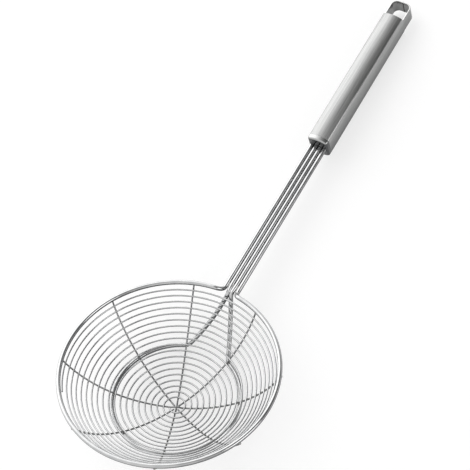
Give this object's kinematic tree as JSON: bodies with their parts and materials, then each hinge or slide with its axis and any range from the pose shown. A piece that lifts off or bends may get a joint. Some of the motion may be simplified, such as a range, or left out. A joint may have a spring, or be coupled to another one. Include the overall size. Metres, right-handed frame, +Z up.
{
  "type": "wire skimmer",
  "caption": "Stainless steel wire skimmer with a spiral-wound bowl on ribs and a support hoop, shank wires, and a tubular handle ending in a hanging loop.",
  "frame": {"origin": "bottom centre of the bounding box, on the table that the skimmer lies on", "axes": "+X from the bowl along the handle to the hanging loop, +Y across the handle, +Z up out of the bowl's mouth"},
  "size_m": [0.376, 0.1398, 0.061],
  "materials": {
    "steel_wire": "bright drawn stainless steel",
    "handle_steel": "satin stainless steel",
    "cap_steel": "polished stainless steel"
  },
  "bodies": {
    "root": {"rim_wire": "steel_wire", "support_wire": "steel_wire", "spiral_wire": "steel_wire", "cross_rib_lower": "steel_wire", "cross_rib_upper": "steel_wire", "corner_rib_1": "steel_wire", "corner_rib_2": "steel_wire", "corner_rib_3": "steel_wire", "corner_rib_4": "steel_wire", "handle_tube": "handle_steel", "handle_end_cap": "cap_steel"}
  },
  "joints": []
}
